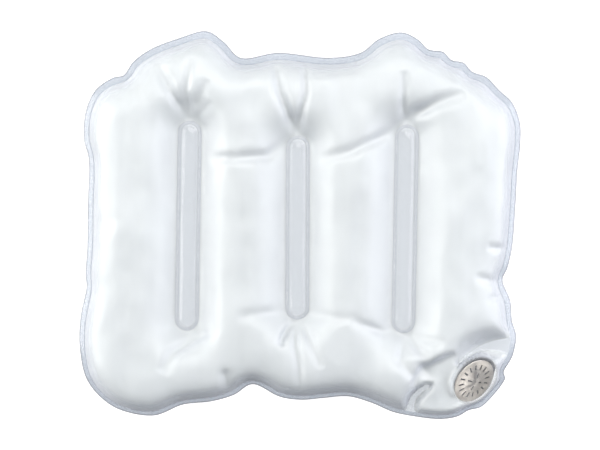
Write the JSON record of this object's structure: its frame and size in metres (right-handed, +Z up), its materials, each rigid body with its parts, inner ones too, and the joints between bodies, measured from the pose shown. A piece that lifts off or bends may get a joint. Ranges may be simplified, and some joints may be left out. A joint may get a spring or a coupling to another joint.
{
  "type": "reusable heat pack",
  "caption": "Clear four-lobed heat pack: two welded films round a salt solution, with a slotted click disc sealed in one corner.",
  "frame": {"origin": "on the table under the middle of the pack's bounding box", "axes": "+X along the pack's length, towards the end that holds the disc; +Y across it, away from the disc's corner; +Z up out of the front film"},
  "size_m": [0.1812, 0.1593, 0.0165],
  "materials": {
    "clear_film": "clear soft PVC film, glossy, very faint blue-grey",
    "welded_film": "two films fused together, clear to slightly milky, finely pressed texture",
    "salt_solution": "clear colourless supercooled sodium acetate solution",
    "disc_steel": "thin stamped stainless steel, warm grey, satin"
  },
  "bodies": {
    "left_inner_panel": {"front_film_left_inner": "clear_film", "back_film_left_inner": "clear_film", "solution_left_inner": "salt_solution", "edge_weld_left_inner_top": "welded_film", "edge_weld_left_inner_bottom": "welded_film"},
    "left_outer_panel": {"front_film_left_outer": "clear_film", "back_film_left_outer": "clear_film", "solution_left_outer": "salt_solution", "edge_weld_left_outer": "welded_film", "weld_bar_left": "welded_film"},
    "right_inner_panel": {"front_film_right_inner": "clear_film", "back_film_right_inner": "clear_film", "solution_right_inner": "salt_solution", "edge_weld_right_inner_top": "welded_film", "edge_weld_right_inner_bottom": "welded_film", "weld_bar_centre": "welded_film"},
    "right_outer_panel": {"front_film_right_outer": "clear_film", "back_film_right_outer": "clear_film", "solution_right_outer": "salt_solution", "edge_weld_right_outer": "welded_film", "weld_bar_right": "welded_film", "gate_weld_upper": "welded_film", "gate_weld_lower": "welded_film"},
    "disc": {"trigger_disc": "disc_steel"}
  },
  "joints": [
    {"name": "left_fold", "type": "hinge", "parent": "left_inner_panel", "child": "left_outer_panel", "pos_m": [-0.0457, 0, 0.006], "axis": [0, 1, 0], "range_deg": [-60, 60]},
    {"name": "centre_fold", "type": "hinge", "parent": "left_inner_panel", "child": "right_inner_panel", "pos_m": [-0.001, 0, 0.006], "axis": [0, -1, 0], "range_deg": [-60, 60]},
    {"name": "right_fold", "type": "hinge", "parent": "right_inner_panel", "child": "right_outer_panel", "pos_m": [0.043, 0, 0.006], "axis": [0, -1, 0], "range_deg": [-60, 60]},
    {"name": "disc_click", "type": "slide", "parent": "right_outer_panel", "child": "disc", "axis": [0.4951, -0.4304, 0.7547], "range_m": [0, 0.0008], "stiffness_N_per_m": 8000}
  ]
}
